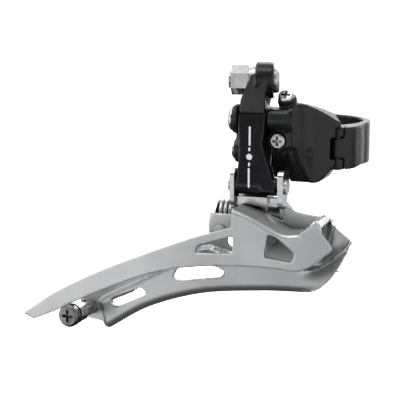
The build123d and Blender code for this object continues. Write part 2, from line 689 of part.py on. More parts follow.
with BuildPart() as outer_cage_plate:
    add(cage_strip(outer_face, sheet) & through_cage(outer_outline.sketch))
    # roof over the chain
    with BuildSketch(Plane.XZ.offset(-inner_face)):
        with BuildLine():
            Spline(*roof_line)
            Line(roof_line[-1], (roof_line[-1][0], roof_line[-1][1] - sheet))
            Spline(*[(x, z - sheet) for x, z in reversed(roof_line)])
            Line((roof_line[0][0], roof_line[0][1] - sheet), roof_line[0])
        make_face()
    extrude(amount=inner_face - outer_face - sheet / 2)
    # top of the nose, folded inward
    with BuildSketch(Plane.XZ.offset(-inner_face)):
        with BuildLine():
            Spline((13.5, -19.4), (14.4, -18.35), (15.6, -18.15), (17.0, -19.4))
            Line((17.0, -19.4), (16.3, -20.4))
            Spline((16.3, -20.4), (15.3, -19.35), (14.7, -19.4), (14.2, -20.2))
            Line((14.2, -20.2), (13.5, -19.4))
        make_face()
    extrude(amount=inner_face - outer_face - sheet / 2)
    add(nose_front.part)
    with BuildSketch(screw_plane(-1)):
        Circle(tail_screw_r + bush_fit)
    extrude(amount=4, mode=Mode.SUBTRACT)

with BuildPart() as inner_cage_plate:
    add(cage_strip(inner_face, sheet) & through_cage(base_outline.sketch))
    add(cage_strip(inner_face - band_lift, sheet) & through_cage(band_outline.sketch))
    add(cage_strip(inner_face - band_lift + 0.1, sheet + band_lift - 0.2) & through_cage(ridge_outline.sketch))
    add(cage_strip(inner_face - band_lift - 0.5, sheet + 0.3) & through_cage(rim_outline.sketch))
    add(through_cage(slots.sketch), mode=Mode.SUBTRACT)
    add(through_cage(window.sketch), mode=Mode.SUBTRACT)
    with BuildSketch(screw_plane(8)):
        Circle(tail_screw_r + bush_fit)
    extrude(amount=8, mode=Mode.SUBTRACT)
    with BuildSketch(Plane.XZ):
        with Locations(*rivet_places):
            Circle(rivet_r)
    extrude(amount=60, mode=Mode.SUBTRACT)

with BuildPart() as bracket_rivets:
    for place in rivet_places:
        with BuildSketch(Plane.XZ.offset(-bracket_wall)):
            with Locations(place):
                Circle(rivet_r)
        extrude(amount=bracket_wall - inner_face)
        with BuildSketch(Plane.XZ.offset(-bracket_wall)):
            with Locations(place):
                Circle(rivet_head_r)
        extrude(amount=-0.5)
        with BuildSketch(Plane.XZ.offset(-inner_face)):
            with Locations(place):
                Circle(rivet_head_r)
        extrude(amount=0.6)

# ---- tail screw, its spacer, washer and nut ---------------------------------------------

with BuildPart() as tail_screw:
    with BuildSketch(screw_plane(-2.3)):
        Circle(3.65)
    extrude(amount=2.3)
    fillet(tail_screw.edges().filter_by(GeomType.CIRCLE).sort_by(Axis.Y)[0], 0.8)
    with BuildSketch(screw_plane(-2.3)):
        Rectangle(4.0, 0.9)
        Rectangle(0.9, 4.0)
    extrude(amount=1.2, mode=Mode.SUBTRACT)
    with BuildSketch(screw_plane(0)):
        Circle(tail_screw_r)
    extrude(amount=tail_gap + 2 * sheet + 3.4)

with BuildPart() as tail_washer:
    with BuildSketch(screw_plane(sheet)):
        Circle(3.4)
        Circle(tail_screw_r + bush_fit, mode=Mode.SUBTRACT)
    extrude(amount=1.0)

with BuildPart() as tail_spacer:
    with BuildSketch(screw_plane(sheet + 1.0)):
        Circle(3.1)
    extrude(amount=3.4)
    with BuildSketch(screw_plane(sheet + 1.0)):
        Circle(2.35)
    extrude(amount=tail_gap - 1.0)
    with BuildSketch(screw_plane(0)):
        Circle(tail_screw_r + bush_fit)
    extrude(amount=20, mode=Mode.SUBTRACT)

with BuildPart() as tail_nut:
    with BuildSketch(screw_plane(2 * sheet + tail_gap + 0.02)):
        RegularPolygon(3.5, 6, major_radius=False)
        Circle(tail_screw_r + bush_fit, mode=Mode.SUBTRACT)
    extrude(amount=3.0)

# ---- limit screws ---------------------------------------------------------------------


def limit_screw(head_plane, length):
    """Cross-head screw whose head's middle is on head_plane, which faces outward."""
    with BuildPart() as screw:
        with BuildSketch(head_plane.offset(-1.0)):
            Circle(limit_head_r)
        extrude(amount=1.9)
        fillet(screw.edges().filter_by(GeomType.CIRCLE).group_by(SortBy.DISTANCE)[-1], 0.6)
        with BuildSketch(head_plane.offset(1.0)):
            Rectangle(2.9, 0.7)
            Rectangle(0.7, 2.9)
        extrude(amount=-1.0, mode=Mode.SUBTRACT)
        with BuildSketch(head_plane.offset(-1.0)):
            Circle(limit_r)
        extrude(amount=-length)
    return screw


limit_screw_inner = limit_screw(upper_axis, 5.6)
lower_axis = Plane(origin=(limit_lower[0], limit_lower[1] + 0.2, limit_lower[2]), x_dir=(1, 0, 0),
                   z_dir=(0, -1, 0))
limit_screw_outer = limit_screw(lower_axis, 2.4)

# ---- write one file per piece ---------------------------------------------------------

pieces = {
    "main_body": main_body,
    "clamp_strap": clamp_strap,
    "strap_hinge_pin": strap_hinge_pin,
    "clamp_bolt": clamp_bolt,
    "clamp_bolt_washer": clamp_bolt_washer,
    "outer_link": outer_link,
    "outer_link_bushes": outer_link_bushes,
    "inner_link": inner_link,
    "inner_link_bushes": inner_link_bushes,
    "upper_outer_pin": upper_outer_pin,
    "upper_outer_washer": upper_outer_washer,
    "upper_inner_pin": upper_inner_pin,
    "lower_outer_pin": lower_outer_pin,
    "lower_inner_pin": lower_inner_pin,
    "return_spring": return_spring,
    "spring_sleeve": spring_sleeve,
    "cage_bracket": cage_bracket,
    "bracket_rivets": bracket_rivets,
    "outer_cage_plate": outer_cage_plate,
    "inner_cage_plate": inner_cage_plate,
    "tail_screw": tail_screw,
    "tail_spacer": tail_spacer,
    "tail_washer": tail_washer,
    "tail_nut": tail_nut,
    "cable_anchor_bolt": cable_anchor_bolt,
    "cable_anchor_nut": cable_anchor_nut,
    "cable_clamp_washer": cable_clamp_washer,
    "cable_plain_washer": cable_plain_washer,
    "limit_screw_inner": limit_screw_inner,
    "limit_screw_outer": limit_screw_outer,
}

os.makedirs("parts", exist_ok=True)
for name, piece in pieces.items():
    piece.part.label = name
    export_step(piece.part, f"parts/{name}.step")
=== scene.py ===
"""Studio scene of a clamp-on front derailleur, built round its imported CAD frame.

The scene is in metres and in the frame's axes: +X to the cage's nose, +Y inward, +Z up.
Shapes are written in millimetres, and multiplied by mm.
"""

import json
from math import cos, radians, sin

import bmesh
import bpy
import numpy as np
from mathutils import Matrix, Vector
from mathutils.geometry import delaunay_2d_cdt


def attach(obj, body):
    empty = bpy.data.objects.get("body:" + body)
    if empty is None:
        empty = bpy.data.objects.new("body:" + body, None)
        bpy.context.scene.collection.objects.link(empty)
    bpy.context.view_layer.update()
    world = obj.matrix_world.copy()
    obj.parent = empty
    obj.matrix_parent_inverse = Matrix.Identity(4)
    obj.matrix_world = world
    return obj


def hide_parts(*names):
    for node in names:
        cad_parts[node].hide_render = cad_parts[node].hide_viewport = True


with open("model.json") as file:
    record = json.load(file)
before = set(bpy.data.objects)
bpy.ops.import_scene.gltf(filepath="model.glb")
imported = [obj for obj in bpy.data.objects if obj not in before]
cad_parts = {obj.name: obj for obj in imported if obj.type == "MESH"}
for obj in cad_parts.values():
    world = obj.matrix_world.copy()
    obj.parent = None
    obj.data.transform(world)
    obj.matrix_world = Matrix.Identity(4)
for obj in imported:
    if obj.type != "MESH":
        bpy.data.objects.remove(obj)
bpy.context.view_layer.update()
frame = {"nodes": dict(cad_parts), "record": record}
nodes = frame["nodes"]
mm = 0.001

# ---- material nodes ---------------------------------------------------------------------

edge_cosines = (0.75, 0.98)  # between the rounded and the flat normal: at an edge, and on a face
open_sky = (0.2, 0.75)  # unobstructed share of the directions: deep inside, where the painted shade is full, and outside, where it ends
# shadowed_silver and shadowed_steel are the colours of painted shade; rubbed_silver is the colour of
# worn edges
shadowed_silver, rubbed_silver = (0.06, 0.06, 0.06), (0.86, 0.86, 0.85)
shadowed_steel = (0.02, 0.02, 0.02)


def grey(value):
    """A neutral colour."""
    return (value, value, value)


class Shader:
    """A Principled material and the few node groups that all finishes share."""

    def __init__(self, name, colour, roughness, metallic):
        self.material = bpy.data.materials.new(name)
        self.material.use_nodes = True
        self.tree = self.material.node_tree
        self.bsdf = self.tree.nodes["Principled BSDF"]
        self.bsdf.inputs["Base Color"].default_value = (*colour, 1)
        self.bsdf.inputs["Roughness"].default_value = roughness
        self.bsdf.inputs["Metallic"].default_value = metallic
        self.place = self.node("ShaderNodeTexCoord").outputs["Object"]
        self.normal = None

    def node(self, kind, **settings):
        """A new node with its settings."""
        made = self.tree.nodes.new(kind)
        for key, value in settings.items():
            setattr(made, key, value)
        return made

    def link(self, a, b):
        self.tree.links.new(a, b)

    def noise(self, size_mm, detail=2.0, stretch=(1, 1, 1)):
        """Noise whose features are about size_mm across."""
        mapping = self.node("ShaderNodeMapping")
        mapping.inputs["Scale"].default_value = stretch
        self.link(self.place, mapping.inputs["Vector"])
        texture = self.node("ShaderNodeTexNoise")
        texture.inputs["Scale"].default_value = 1 / (size_mm * mm)
        texture.inputs["Detail"].default_value = detail
        self.link(mapping.outputs["Vector"], texture.inputs["Vector"])
        return texture.outputs["Fac"]

    def spread(self, factor, low, high, clip=(0.3, 0.7)):
        """A factor's clip range spread over low to high."""
        mapped = self.node("ShaderNodeMapRange")
        for key, value in zip(("From Min", "From Max", "To Min", "To Max"), (*clip, low, high)):
            mapped.inputs[key].default_value = value
        self.link(factor, mapped.inputs["Value"])
        return mapped.outputs["Result"]

    def round_edges(self, radius_mm):
        """Softens the shading across sharp edges, and returns a mask of those edges."""
        bevel = self.node("ShaderNodeBevel", samples=6)
        bevel.inputs["Radius"].default_value = radius_mm * mm
        self.normal = bevel.outputs["Normal"]
        geometry = self.node("ShaderNodeNewGeometry")
        dot = self.node("ShaderNodeVectorMath", operation="DOT_PRODUCT")
        self.link(self.normal, dot.inputs[0])
        self.link(geometry.outputs["Normal"], dot.inputs[1])
        return self.spread(dot.outputs["Value"], 1, 0, clip=edge_cosines)

    def painted_shade_mask(self, reach_mm):
        """Mask for painted shade: 0 deep inside the object, where the colour is darkened most,
        rising to 1 where nothing stands within reach_mm.
        """
        around = self.node("ShaderNodeAmbientOcclusion", samples=8)
        around.inputs["Distance"].default_value = reach_mm * mm
        return self.spread(around.outputs["AO"], 0, 1, clip=open_sky)

    def bump(self, height, depth_mm):
        """Adds relief, depth_mm deep, to the normal."""
        bump = self.node("ShaderNodeBump")
        bump.inputs["Strength"].default_value = 1.0
        bump.inputs["Distance"].default_value = depth_mm * mm
        self.link(height, bump.inputs["Height"])
        if self.normal:
            self.link(self.normal, bump.inputs["Normal"])
        self.normal = bump.outputs["Normal"]
        self.link(self.normal, self.bsdf.inputs["Normal"])

    def mix(self, factor, a, b):
        """Colour a where factor is 0 and b where it is 1; each is a colour or a socket."""
        mixed = self.node("ShaderNodeMix", data_type="RGBA")
        self.link(factor, mixed.inputs["Factor"])
        for key, value in ((6, a), (7, b)):
            if isinstance(value, tuple):
                mixed.inputs[key].default_value = (*value, 1)
            else:
                self.link(value, mixed.inputs[key])
        return mixed.outputs[2]

    def colour(self, socket):
        self.link(socket, self.bsdf.inputs["Base Color"])

    def roughness(self, socket):
        self.link(socket, self.bsdf.inputs["Roughness"])


def lacquer(name, dark, light, gloss, edge, peel_mm):
    """Black anodised or lacquered metal: slight orange peel, dust and rubbed edges."""
    s = Shader(name, dark, gloss, metallic=0.0)
    s.bsdf.inputs["Specular IOR Level"].default_value = 0.27
    s.bsdf.inputs["Coat Weight"].default_value = 0.13
    s.bsdf.inputs["Coat Roughness"].default_value = 0.12
    rubbed = s.round_edges(radius_mm=0.35)
    cloud = s.spread(s.noise(size_mm=9.0, detail=3.0), 0, 1)
    base = s.mix(cloud, dark, light)
    s.colour(s.mix(s.spread(rubbed, 0, 0.55, clip=(0.0, 1.0)), base, edge))
    s.roughness(s.spread(s.noise(size_mm=1.6, detail=4.0), gloss * 0.85, gloss * 1.25))
    s.bump(s.noise(size_mm=0.55), peel_mm)
    return s.material


def blasted(name, dark, light, gloss, grain_mm, depth_mm, metallic):
    """Bead-blasted plated metal: fine even grain, painted shade in hollows and between the plates,
    brighter rubbed edges.
    """
    s = Shader(name, light, gloss, metallic)
    rubbed = s.round_edges(radius_mm=0.3)
    cloud = s.spread(s.noise(size_mm=14.0, detail=3.0), 0, 1)
    # painted shade: the colour darkens towards shadowed_silver wherever other surfaces stand within
    # 14 mm, as between the cage plates
    base = s.mix(s.painted_shade_mask(reach_mm=14.0), shadowed_silver, s.mix(cloud, dark, light))
    s.colour(s.mix(s.spread(rubbed, 0, 0.6, clip=(0.0, 1.0)), base, rubbed_silver))
    s.roughness(s.spread(s.noise(size_mm=0.5, detail=3.0), gloss * 0.85, gloss * 1.15))
    s.bump(s.noise(grain_mm, detail=3.0), depth_mm)
    return s.material


def bright(name, dark, light, gloss, stretch=(1, 1, 1)):
    """Polished or turned steel: fine lines along its stretch, dull patches, painted shade in
    recesses.
    """
    s = Shader(name, light, gloss, metallic=1.0)
    s.round_edges(radius_mm=0.2)
    base = s.mix(s.spread(s.noise(size_mm=3.0, detail=4.0), 0, 1), dark, light)
    # painted shade: the colour darkens towards shadowed_steel in recesses
    s.colour(s.mix(s.painted_shade_mask(reach_mm=1.6), shadowed_steel, base))
    s.roughness(s.spread(s.noise(0.9, 4.0, stretch), gloss * 0.7, gloss * 1.5))
    s.bump(s.noise(0.25, 2.0, stretch), depth_mm=0.004)
    return s.material


def moulded(name, dark, light, gloss):
    """Moulded nylon with a spark-eroded surface."""
    s = Shader(name, dark, gloss, metallic=0.0)
    s.round_edges(radius_mm=0.2)
    s.colour(s.mix(s.spread(s.noise(size_mm=2.0, detail=3.0), 0, 1), dark, light))
    s.roughness(s.spread(s.noise(size_mm=0.4, detail=3.0), gloss * 0.9, gloss * 1.1))
    s.bump(s.noise(size_mm=0.2), depth_mm=0.02)
    return s.material


def printed_white(name):
    """Screen-printed ink, a little uneven."""
    s = Shader(name, grey(0.75), roughness=0.5, metallic=0.0)
    s.colour(s.mix(s.spread(s.noise(size_mm=0.5, detail=3.0), 0, 1), grey(0.62), grey(0.8)))
    s.bump(s.noise(size_mm=0.2), depth_mm=0.003)
    return s.material


finishes = {
    "black_body": lacquer("black_body", (0.006, 0.006, 0.007), (0.011, 0.011, 0.012), gloss=0.34,
                          edge=(0.10, 0.10, 0.105), peel_mm=0.006),
    "black_link": lacquer("black_link", (0.005, 0.005, 0.006), (0.009, 0.009, 0.010), gloss=0.22,
                          edge=(0.16, 0.16, 0.165), peel_mm=0.003),
    "black_steel": lacquer("black_steel", (0.010, 0.010, 0.011), (0.018, 0.018, 0.019), gloss=0.35,
                           edge=grey(0.2), peel_mm=0.004),
    "polished_steel": bright("polished_steel", (0.42, 0.42, 0.41), (0.56, 0.56, 0.55), 0.28),
    "link_steel": bright("link_steel", grey(0.48), grey(0.62), 0.2, stretch=(0.2, 1, 1)),
    "screw_steel": bright("screw_steel", (0.30, 0.30, 0.29), (0.5, 0.5, 0.49), 0.24,
                          stretch=(1, 0.2, 1)),
    "tail_steel": bright("tail_steel", grey(0.10), (0.22, 0.22, 0.21), 0.3),
    "spring_steel": bright("spring_steel", grey(0.30), grey(0.5), 0.25),
    "bronze": bright("bronze", (0.022, 0.019, 0.016), (0.04, 0.034, 0.028), 0.45),
    "black_plastic": moulded("black_plastic", grey(0.012), grey(0.02), 0.5),
    "cage_silver": blasted("cage_silver", grey(0.43), grey(0.50), gloss=0.36, grain_mm=0.16,
                           depth_mm=0.012, metallic=0.7),
    "white_ink": printed_white("white_ink"),
}

slot_of = {part["node"]: part["material_slot"] for part in frame["record"]["subparts"]}
for name, shown in nodes.items():
    shown.data.materials.clear()
    finish = "tail_steel" if name == "tail_screw" else slot_of[name]
    shown.data.materials.append(finishes[finish])

# ---- cage plates: pressed sheet ---------------------------------------------------------
# Outlines and forms are in millimetres, as (X, Z) pairs; a form gives each point its Y.

sheet_thick = 1.2
sheet_edge, sharpest_bend = 0.22, radians(50)
outer_face, inner_face = -48.6, -36.8
toe_start, toe_radius, toe_angle = -22.0, 143.0, radians(8)
grid = 0.6
row_height = 0.866  # of a row of equilateral triangles, in grid steps
crease_gap, field_gap, longest_link = 0.6, 0.55, 1.5  # in grid steps


def smooth(points, steps=8):
    """Points on a Catmull-Rom curve through a few set ones."""
    p = [np.array(q, float) for q in points]
    p = [2 * p[0] - p[1], *p, 2 * p[-1] - p[-2]]
    made = []
    for a, b, c, d in zip(p, p[1:], p[2:], p[3:]):
        for t in np.arange(steps) / steps:
            made.append(0.5 * (2 * b + (c - a) * t + (2 * a - 5 * b + 4 * c - d) * t ** 2
                               + (3 * b - a - 3 * c + d) * t ** 3))
    return [*made, p[-2]]


def rounded(corners, radius, steps=7):
    """Closed polygon with its corners rounded by short curves."""
    p = [np.array(q, float) for q in corners]
    made = []
    for before, at, after in zip(p[-1:] + p[:-1], p, p[1:] + p[:1]):
        start = at + (before - at) * min(0.45, radius / np.linalg.norm(before - at))
        end = at + (after - at) * min(0.45, radius / np.linalg.norm(after - at))
        for t in np.linspace(0, 1, steps):
            made.append((1 - t) ** 2 * start + 2 * t * (1 - t) * at + t ** 2 * end)
    return made


def ring(centre, radius, steps=24):
    """Closed polygon round a circle."""
    turns = np.linspace(0, 2 * np.pi, steps + 1)[:-1]
    return [(centre[0] + radius * cos(a), centre[1] + radius * sin(a)) for a in turns]


def even_spacing(loop, step):
    """A closed loop's points, at most step apart."""
    made = []
    for a, b in zip(loop, loop[1:] + loop[:1]):
        a, b = np.array(a, float), np.array(b, float)
        count = int(np.ceil(np.linalg.norm(b - a) / step))
        made += [a + (b - a) * i / count for i in range(count)]
    return made


def inside(points, loops):
    """Which points lie inside the loops, by the even-odd rule."""
    hit = np.zeros(len(points), bool)
    for loop in loops:
        ends = np.array(loop)
        for (x1, z1), (x2, z2) in zip(ends, np.roll(ends, -1, axis=0)):
            if z1 != z2:
                crosses = (points[:, 1] > min(z1, z2)) & (points[:, 1] <= max(z1, z2))
                at = x1 + (points[:, 1] - z1) * (x2 - x1) / (z2 - z1)
                hit ^= crosses & (points[:, 0] < at)
    return hit


def distance(points, line):
    """Distance of each point to a polyline."""
    ends = np.array(line)
    best = np.full(len(points), 1e9)
    for a, b in zip(ends, ends[1:]):
        along = np.clip(((points - a) @ (b - a)) / max((b - a) @ (b - a), 1e-9), 0, 1)
        best = np.minimum(best, np.linalg.norm(points - a - along[:, None] * (b - a), axis=1))
    return best


def ramp(t):
    """Smooth step from 0 to 1."""
    t = np.clip(t, 0, 1)
    return t * t * (3 - 2 * t)


def toe(x):
    """How far the cage has turned inward at x, towards the tail."""
    reach = toe_radius * sin(toe_angle)
    bent = toe_radius - np.sqrt(toe_radius ** 2 - np.clip(toe_start - x, 0, reach) ** 2)
    return bent + np.clip(toe_start - reach - x, 0, None) * np.tan(toe_angle)


def gaps(points, others):
    """Distance of each point to the nearest of the others."""
    return np.min(np.linalg.norm(points[:, None] - others[None], axis=2), axis=1)


def chain(line):
    """Points of an open line at even spacing: half of the closed loop out and back."""
    loop = np.array(even_spacing(list(line) + list(line)[::-1], grid))
    return loop[:len(loop) // 2 + 1]


def pressed(name, loops, creases, form):
    """A sheet whose outline and holes are loops, given its shape by form(x, z) -> (x, y, z).

    Its triangles follow the creases, which are open lines inside the outline.
    """
    loops = [even_spacing(list(loop), grid) for loop in loops]
    edge_points = np.array([p for loop in loops for p in loop])
    lines = [chain(crease) for crease in creases]
    lines = [line[inside(line, loops) & (gaps(line, edge_points) > grid * crease_gap)]
             for line in lines]
    border = np.vstack([edge_points, *lines])
    low, high = border.min(0), border.max(0)
    xs, zs = np.arange(low[0], high[0], grid), np.arange(low[1], high[1], grid * row_height)
    field = np.array([(x + (i % 2) * grid / 2, z) for i, z in enumerate(zs) for x in xs])
    field = field[inside(field, loops) & (gaps(field, border) > grid * field_gap)]
    edges, first = [], 0
    for loop in loops:
        edges += [(first + i, first + (i + 1) % len(loop)) for i in range(len(loop))]
        first += len(loop)
    for line in lines:
        edges += [(first + i, first + i + 1) for i in range(len(line) - 1)
                  if np.linalg.norm(line[i + 1] - line[i]) < longest_link * grid]
        first += len(line)
    flat = [Vector(p) for p in np.vstack([border, field])]
    flat, _, triangles, *_ = delaunay_2d_cdt(flat, edges, [], 0, 1e-5)
    flat = np.array([tuple(p) for p in flat])
    middles = np.array([flat[list(t)].mean(0) for t in triangles])
    kept = [t for t, keep in zip(triangles, inside(middles, loops)) if keep]
    x, y, z = form(flat[:, 0], flat[:, 1])
    mesh = bpy.data.meshes.new(name)
    mesh.from_pydata((np.stack([x, y, z], 1) * mm).tolist(), [], [list(t) for t in kept])
    mesh.polygons.foreach_set("use_smooth", [True] * len(mesh.polygons))
    made = bpy.data.objects.new(name, mesh)
    bpy.context.scene.collection.objects.link(made)
    thick = made.modifiers.new("thickness", "SOLIDIFY")
    thick.thickness = sheet_thick * mm
    thick.offset = -1
    edge = made.modifiers.new("edge", "BEVEL")
    edge.width = sheet_edge * mm
    edge.segments = 2
    edge.limit_method = "ANGLE"
    edge.angle_limit = sharpest_bend
    made.modifiers.new("shading", "WEIGHTED_NORMAL")
    return made


bend_r = 1.3
roof_gap = 0.5  # between the outer plate's roof and the inner plate
roof_depth = inner_face - outer_face - roof_gap
unrolled = roof_depth + bend_r * (np.pi / 2 - 2)
nose_curl, nose_curl_from = 0.012, 8
roof_span, nose_span = (-10.3, 10.7), (13.0, 17.2)
roof_line = smooth([(-10.2, -15.6), (-4.7, -17.6), (1.6, -20.8), (6.0, -22.3), (10.6, -21.9)])
nose_top = smooth([(12.6, -20.3), (14.2, -18.1), (15.6, -17.9), (17.3, -19.4)])


def fold(x, z, line, low_x, high_x):
    """Folds what lies above a line inward over a bend: the change in Y, and the new Z."""
    xs, zs = np.array(line).T
    top = np.interp(x, xs, zs)
    past = np.where((x > low_x) & (x < high_x), z - top + bend_r, -1)
    turned = np.clip(past / bend_r, 0, np.pi / 2)
    dy = bend_r * (1 - np.cos(turned)) + np.clip(past - bend_r * np.pi / 2, 0, None)
    new_z = top - bend_r + bend_r * np.sin(turned)
    return np.where(past > 0, dy, 0), np.where(past > 0, new_z, z)


def outer_form(x, z):
    """Flat sheet with a roof and a nose top folded inward, and a slight curl at the nose."""
    y = outer_face + toe(x) + nose_curl * np.clip(x - nose_curl_from, 0, None) ** 2
    for line, span in ((roof_line, roof_span), (nose_top, nose_span)):
        dy, z = fold(x, z, line, *span)
        y = y + dy
    return x, y, z


tail_hole = ring((-65.9, -54.3), radius=2.04)
outer_outline = [
    *smooth([(-84.5, -56.0), (-71.0, -47.0), (-52.0, -37.3), (-27.0, -26.8), (-12.5, -21.8)]),
    (-10.4, -21.2), (-10.2, -17.0), (-10.2, -15.6),
    *[(x, z + unrolled) for x, z in roof_line],
    *smooth([(10.6, -21.9), (12.6, -20.3), (13.1, -19.2)]),
    *[(x, z + unrolled) for x, z in nose_top if 13.1 < x < 17.1],
    *smooth([(17.2, -19.3), (17.3, -21.6), (18.6, -23.3), (20.2, -25.8), (19.3, -27.3)]),
    *smooth([(17.1, -28.9), (14.7, -31.0), (12.0, -32.5), (9.0, -33.0), (-1.4, -32.6),
             (-17.9, -33.5), (-35.4, -36.9), (-55.8, -45.4), (-71.9, -53.6), (-80.6, -57.5)])]
outer_holes = [rounded([(-22.0, -30.0), (-21.3, -27.5), (-9.9, -23.7), (-9.9, -29.2)], 1.0),
               rounded([(0.9, -22.4), (3.4, -23.0), (9.4, -27.7), (8.6, -30.6), (-0.2, -29.6)], 1.2),
               tail_hole]

# the inner plate's lower band stands outward below a ridge, and ends at a wall by the tail
ridge = smooth([(-61.6, -51.2), (-53.0, -46.6), (-40.0, -40.2), (-30.0, -33.6), (-22.5, -29.6),
                (-15.6, -30.9), (-4.0, -32.2), (6.0, -33.6), (13.5, -33.0), (20.6, -27.6),
                (24.6, -22.0)])
band_lift = 2.0
step_width, step_widening, widening_from, widening_over = 1.1, 0.9, -38, 15
wall_foot, wall_head, wall_width, wall_below = (-59.4, -60.2), (-61.6, -51.2), 3.0, -50.0
# the nose swells outward along a crest
crest = smooth([(19.5, -19.0), (18.4, -24.2), (17.6, -27.2), (16.2, -29.8), (14.4, -33.0),
                (11.8, -36.6)])
swell, swell_from, swell_over, swell_fall = 3.8, -38.5, 13, 8.0
slope_width, slope_widening, slope_from, slope_over = 3.6, 1.6, -26, 6
# the lower edge is rolled inward, less and less towards the nose
rim = smooth([(24.2, -25.2), (22.4, -29.4), (19.4, -34.8), (15.6, -39.2), (10.8, -41.6),
              (-4.5, -42.6), (-24.0, -45.1), (-42.0, -51.3), (-56.6, -60.1)])
roll_depth, roll_reach, roll_to, roll_over = 1.3, 2.2, 16, 12


def inner_form(x, z):
    """Flat sheet with the raised band, the swelling of the nose and the rolled lower edge."""
    points = np.stack([x, z], 1)
    ridge_x, ridge_z = np.array(ridge).T
    below = z < np.interp(x, ridge_x, ridge_z)
    step = step_width + step_widening * ramp((widening_from - x) / widening_over)
    lift = band_lift * np.where(below, ramp(distance(points, ridge) / step), 0)
    wall_x = np.interp(z, (wall_foot[1], wall_head[1]), (wall_foot[0], wall_head[0]))
    lift *= np.where(z < wall_below, ramp(np.clip((x - wall_x) / wall_width, 0, 1)), 1)
    crest_x, crest_z = np.array(crest[::-1]).T
    past = x - np.interp(z, crest_z, crest_x)
    height = swell * ramp((z - swell_from) / swell_over)
    slope = slope_width + slope_widening * ramp((slope_from - z) / slope_over)
    lift += height * np.where(past < 0, ramp(1 + past / slope), ramp(1 - past / swell_fall))
    roll = np.clip(1 - distance(points, rim) / roll_reach, 0, 1)
    rolled = roll_depth * ramp((roll_to - x) / roll_over) * roll ** 2
    return x, inner_face + toe(x) - lift + rolled, z


inner_outline = [
    (-21.7, -22.2), (-21.4, -20.8), (-20.8, -20.0), (-19.6, -19.6), (-13.3, -19.6),
    (-10.6, -16.6), (-4.7, -17.9), (-0.4, -19.8), (2.2, -20.4),
    *smooth([(2.8, -16.0), (5.8, -17.4), (11.4, -18.3), (16.0, -18.7), (19.0, -20.2),
             (24.2, -25.2)])[:-1],
    *rim, *smooth([(-57.4, -60.2), (-58.9, -59.9), (-59.8, -58.6)]), (-67.6, -57.8),
    *smooth([(-68.4, -51.4), (-60.0, -45.6), (-40.0, -35.4), (-21.7, -27.2)])]
inner_holes = [rounded([(-56.4, -50.0), (-54.2, -52.8), (-42.2, -47.0), (-44.4, -44.8)], 2.0),
               rounded([(-33.4, -40.6), (-31.6, -37.4), (-26.0, -35.9), (-19.0, -35.7),
                        (-15.6, -37.0), (-16.8, -39.1), (-24.0, -40.1), (-30.4, -41.4)], 1.3),
               rounded([(-15.6, -24.4), (-3.2, -24.4), (-3.2, -30.6), (-15.6, -29.4)], 1.2),
               tail_hole]


def shifted(line, dx, dz):
    """A line moved by (dx, dz)."""
    return [(x + dx, z + dz) for x, z in line]


outer_creases = [shifted(roof_line, 0, rise * bend_r) for rise in (-1, -0.5, 0, 0.57)]
inner_creases = [shifted(ridge, 0.5 * i, -1.0 * i) for i in range(3)]
inner_creases += [shifted(crest, dx, 0) for dx in (0, -1.2, -2.4, -3.6, 1.2)]
for name, loops, creases, form, node in (
        ("outer_plate", [outer_outline, *outer_holes], outer_creases, outer_form,
         "outer_cage_plate"),
        ("inner_plate", [inner_outline, *inner_holes], inner_creases, inner_form,
         "inner_cage_plate")):
    plate = pressed(name, loops, creases, form)
    plate.data.materials.append(finishes["cage_silver"])
    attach(plate, "cage")
    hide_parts(node)

# ---- castings: the CAD shapes with the soft edges of a forging ----------------------------


def softened(name, node, body, voxel_mm, passes, webs):
    """Stands for a CAD node: its shape with rounded edges, and webs, the hulls of points in mm."""
    source = bmesh.new()
    source.from_mesh(nodes[node].data)
    for web in webs:
        corners = [source.verts.new(Vector(p) * mm) for p in web]
        bmesh.ops.convex_hull(source, input=corners)
    mesh = bpy.data.meshes.new(name)
    source.to_mesh(mesh)
    source.free()
    made = bpy.data.objects.new(name, mesh)
    bpy.context.scene.collection.objects.link(made)
    remeshed = made.modifiers.new("grid", "REMESH")
    remeshed.mode = "VOXEL"
    remeshed.voxel_size = voxel_mm * mm
    remeshed.use_smooth_shade = True
    round_off = made.modifiers.new("round", "SMOOTH")
    round_off.factor = 0.5
    round_off.iterations = passes
    made.data.materials.clear()
    made.data.materials.append(finishes[slot_of[node]])
    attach(made, body)
    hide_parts(node)


# plane of the outer link's front face: outward part, upward part and distance of its normal
face_out, face_rise, face_distance = 0.9675, 0.2528, 35.302


def front_face(x, z, inset=0.0):
    """A point on the outer link's front face, or inset behind it."""
    return (x, -(face_distance - inset - face_rise * z) / face_out, z)


# from the link's neck to the eye of the cable arm
arm_web = [(-12.9, -34.0, 11.5), (-12.9, -31.5, 11.5), (-12.7, -33.7, 15.6), (-12.4, -31.9, 15.6),
           (-10.9, -33.5, 20.0), (-10.6, -32.9, 20.0), (-9.2, -33.5, 23.6), (-9.0, -32.9, 23.6),
           (-5.0, -34.0, 11.5), (-5.0, -31.5, 11.5), (-4.6, -33.5, 20.0), (-4.8, -32.9, 23.0),
           (-4.8, -33.4, 23.0)]
# from the link's waist to its wide foot
foot_corners = ((-5.2, 2.5), (-7.0, -2.0), (-3.3, -2.6), (-1.1, -7.4), (0.3, -11.6), (-4.0, -11.6))
foot_depth = 2.4
foot_web = [front_face(x, z, inset) for x, z in foot_corners for inset in (0, foot_depth)]
# between the upper barrel and the shield, and beside the lower limit screw's pocket
shoulder_web = [(1.2, -32.6, 12.3), (1.2, -31.9, 6.2), (4.4, -28.4, 13.4), (4.4, -28.4, 5.0),
                (1.2, -28.0, 12.0), (1.2, -28.0, 6.2), (4.4, -26.0, 12.6), (4.4, -26.0, 5.0)]
pocket_web = [(1.6, -31.4, 6.4), (1.6, -30.9, 1.2), (4.6, -28.3, 6.4), (4.8, -28.2, 0.0),
              (1.6, -28.0, 6.4), (1.6, -28.0, 1.2), (4.6, -26.0, 6.4), (4.8, -26.0, 0.0)]
